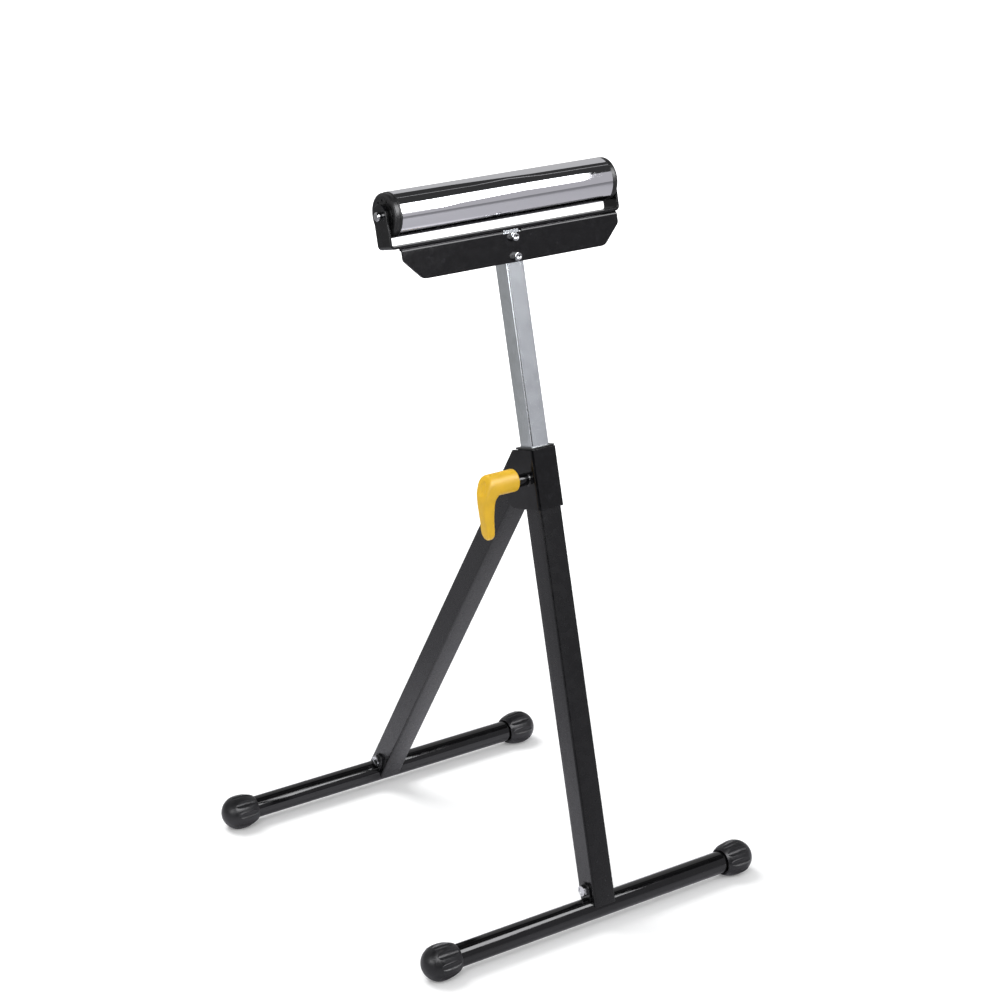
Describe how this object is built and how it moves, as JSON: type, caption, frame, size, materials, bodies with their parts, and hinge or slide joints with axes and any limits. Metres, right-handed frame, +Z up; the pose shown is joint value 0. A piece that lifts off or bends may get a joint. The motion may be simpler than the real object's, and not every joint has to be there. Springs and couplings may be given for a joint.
{
  "type": "roller stand",
  "caption": "Folding roller stand: a chromed roller on a bent bracket and sliding square post, clamped in a leaning leg, with a hinged rear leg and rubber-capped foot tubes.",
  "frame": {"origin": "On the floor, at the middle of the rectangle that the stand covers.", "axes": "+Z up, +Y from the front foot to the rear foot, +X along the roller, to the right seen from the front; the clamp handle is on the -X side."},
  "size_m": [0.5058, 0.5184, 0.8918],
  "materials": {
    "black_paint": "satin",
    "black_plastic": "satin",
    "black_rubber": "matt",
    "yellow_plastic": "satin",
    "zinc_plate": "zinc plated",
    "chrome": "polished",
    "steel": "turned"
  },
  "bodies": {
    "front_frame": {"front_leg": "black_paint", "clamp_head": "black_paint", "guide_bush": "black_plastic", "clamp_boss": "black_paint", "front_foot_tube": "black_paint", "front_foot_ears": "black_paint", "front_foot_bolt": "zinc_plate", "front_foot_nut": "zinc_plate", "front_left_cap": "black_rubber", "front_right_cap": "black_rubber", "pivot_bolt": "zinc_plate", "pivot_washer": "zinc_plate", "pivot_nut": "zinc_plate"},
    "rear_frame": {"rear_leg": "black_paint", "rear_leg_bush": "steel", "rear_foot_tube": "black_paint", "rear_foot_ears": "black_paint", "rear_foot_bolt": "zinc_plate", "rear_foot_nut": "zinc_plate", "rear_left_cap": "black_rubber", "rear_right_cap": "black_rubber"},
    "clamp_pad": {"pressure_pad": "steel"},
    "clamp_lever": {"clamp_stud": "zinc_plate", "clamp_handle": "yellow_plastic"},
    "lift_head": {"inner_post": "zinc_plate", "post_bottom_plug": "black_plastic", "roller_bracket": "black_paint", "flange_plate": "black_paint", "bracket_bolts": "zinc_plate", "bracket_washers": "zinc_plate", "bracket_nuts": "zinc_plate", "roller_axle": "zinc_plate", "axle_spacer_tube": "steel", "bearing_inner_rings": "steel"},
    "roller": {"bearing_outer_rings": "steel", "bearing_cages": "black_plastic", "bearing_balls": "steel", "roller_tube": "chrome", "roller_left_cap": "black_plastic", "roller_right_cap": "black_plastic"}
  },
  "joints": [
    {"name": "post_slide", "type": "slide", "parent": "front_frame", "child": "lift_head", "axis": [0, 0.2377, 0.9713], "range_m": [-0.217, 0.192]},
    {"name": "roller_spin", "type": "hinge", "parent": "lift_head", "child": "roller", "pos_m": [0.0024, -0.03101, 0.86515], "axis": [1, 0, 0], "continuous": true},
    {"name": "rear_leg_fold", "type": "hinge", "parent": "front_frame", "child": "rear_frame", "pos_m": [0.006, -0.07805, 0.5341], "axis": [-1, 0, 0], "range_deg": [0, 45]},
    {"name": "pad_feed", "type": "slide", "parent": "front_frame", "child": "clamp_pad", "axis": [-1, 0, 0], "range_m": [0, 0.0019]},
    {"name": "handle_turn", "type": "hinge", "parent": "clamp_pad", "child": "clamp_lever", "pos_m": [0.006, -0.1105, 0.54029], "axis": [-1, 0, 0], "range_deg": [0, 450]}
  ],
  "couplings": [
    {"joint": "pad_feed", "follows": "handle_turn", "m_per_rad": 0.00023873}
  ]
}
